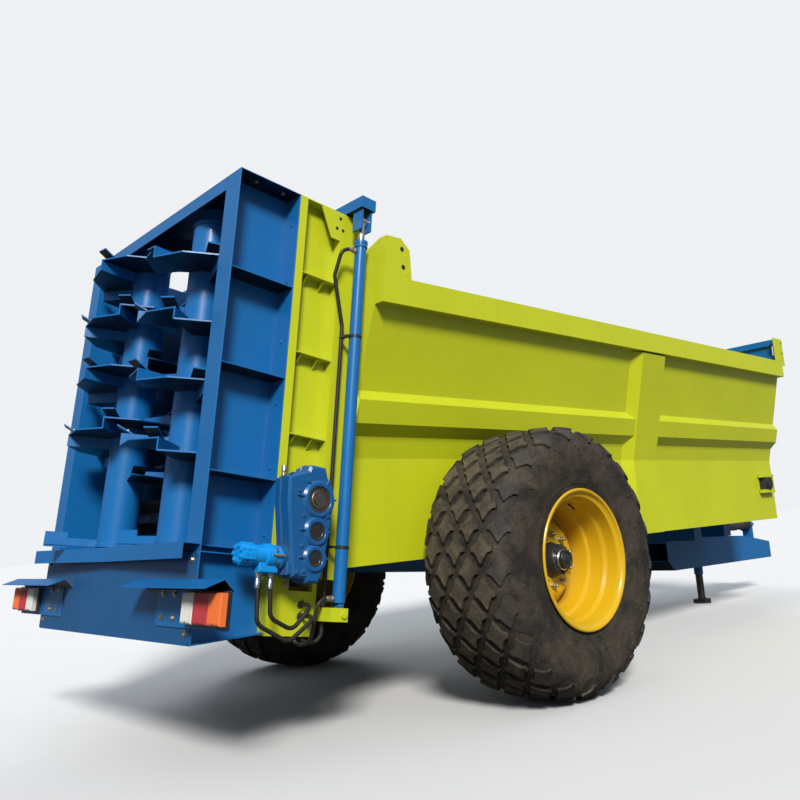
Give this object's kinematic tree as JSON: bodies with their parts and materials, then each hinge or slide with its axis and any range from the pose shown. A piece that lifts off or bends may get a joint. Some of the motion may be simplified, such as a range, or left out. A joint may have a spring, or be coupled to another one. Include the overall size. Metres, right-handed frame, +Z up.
{
  "type": "fertilizer spreader",
  "caption": "Single axle manure and fertilizer spreader with upright beaters, a lifting gate, a floor conveyor, a drawbar and a parking jack.",
  "frame": {"origin": "centre of the machine's outline on the floor", "axes": "+X forward to the drawbar eye, +Y to the left side, +Z up"},
  "size_m": [8.454, 3.134, 2.9328],
  "materials": {
    "lime": "gloss paint",
    "blue": "gloss paint",
    "light_blue": "gloss paint",
    "yellow": "gloss paint",
    "black": "satin paint",
    "dark_steel": "oiled",
    "chrome": "polished",
    "tyre": "matt",
    "rubber": "matt",
    "lamp": "clear lens"
  },
  "bodies": {
    "chassis": {"wall_right": "lime", "wall_left": "lime", "front_wall": "lime", "headboard": "blue", "chassis_beams": "blue", "cross_tubes": "blue", "bar_hangers": "blue", "axle": "blue", "floor": "lime", "conveyor": "dark_steel", "conveyor_shafts": "dark_steel", "conveyor_bearings": "lime", "rear_frame_right": "lime", "rear_frame_left": "lime", "housing_right": "blue", "housing_left": "blue", "housing_top": "blue", "beater_pan": "blue", "tail_plate": "blue", "lamp_brackets": "blue", "rear_lamps": "lamp", "beater_drive": "dark_steel", "conveyor_gearbox": "blue", "hydraulic_motor": "light_blue", "lift_barrel_right": "blue", "lift_barrel_left": "blue", "drawbar": "blue", "drawbar_eye": "dark_steel", "front_case": "dark_steel", "input_shaft": "dark_steel", "shaft_pedestal": "blue", "jack_tube": "blue", "hoses": "rubber"},
    "wheel_right": {"tyre_right": "tyre", "rim_right": "yellow", "hub_right": "black"},
    "wheel_left": {"tyre_left": "tyre", "rim_left": "yellow", "hub_left": "black"},
    "beater_right": {"beater_right": "blue"},
    "beater_left": {"beater_left": "blue"},
    "gate": {"gate_panel": "blue", "gate_beam": "blue", "lift_rods": "chrome"},
    "jack": {"jack_leg": "dark_steel"}
  },
  "joints": [
    {"name": "wheel_right_spin", "type": "hinge", "parent": "chassis", "child": "wheel_right", "pos_m": [-1.95299, -1.258, 0.785], "axis": [0, 1, 0], "continuous": true},
    {"name": "wheel_left_spin", "type": "hinge", "parent": "chassis", "child": "wheel_left", "pos_m": [-1.95299, 1.258, 0.785], "axis": [0, 1, 0], "continuous": true},
    {"name": "beater_right_spin", "type": "hinge", "parent": "chassis", "child": "beater_right", "pos_m": [-3.74272, -0.38, 1.8494], "axis": [0.1564, 0, 0.9877], "continuous": true},
    {"name": "beater_left_spin", "type": "hinge", "parent": "chassis", "child": "beater_left", "pos_m": [-3.74272, 0.38, 1.8494], "axis": [0.1564, 0, 0.9877], "continuous": true},
    {"name": "gate_lift", "type": "slide", "parent": "chassis", "child": "gate", "axis": [0.1564, 0, 0.9877], "range_m": [0, 1.1]},
    {"name": "jack_slide", "type": "slide", "parent": "chassis", "child": "jack", "axis": [0, 0, 1], "range_m": [0, 0.24]}
  ],
  "couplings": [
    {"joint": "beater_left_spin", "follows": "beater_right_spin", "ratio": -1}
  ]
}
